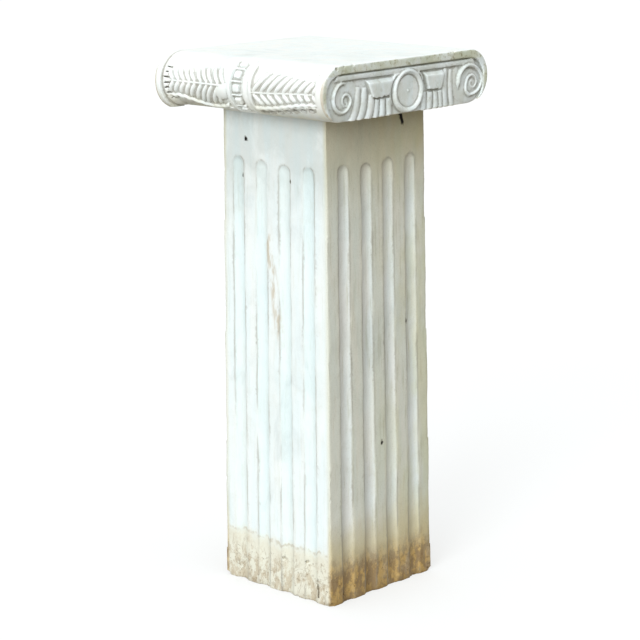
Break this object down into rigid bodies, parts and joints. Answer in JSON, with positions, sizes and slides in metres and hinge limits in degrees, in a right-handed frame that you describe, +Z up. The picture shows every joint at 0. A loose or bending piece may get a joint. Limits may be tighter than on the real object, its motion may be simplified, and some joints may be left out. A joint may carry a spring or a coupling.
{
  "type": "pedestal with ionic capital",
  "caption": "Square tapered marble pedestal with fluted faces, under a flat ionic capital with volutes and leafy rolls; stands by its own weight.",
  "frame": {"origin": "centre of the shaft's foot, where it stands on the ground", "axes": "+Z up the shaft, X across the volutes, Y along the leafy rolls; the volute faces look along -Y and +Y"},
  "size_m": [0.4, 0.38, 0.915],
  "materials": {
    "shaft_marble": "honed white marble, weathered, brown damp stain at the foot",
    "capital_marble": "honed white marble, weathered, grey dirt in the carving"
  },
  "bodies": {
    "root": {"shaft": "shaft_marble", "capital": "capital_marble"}
  },
  "joints": []
}
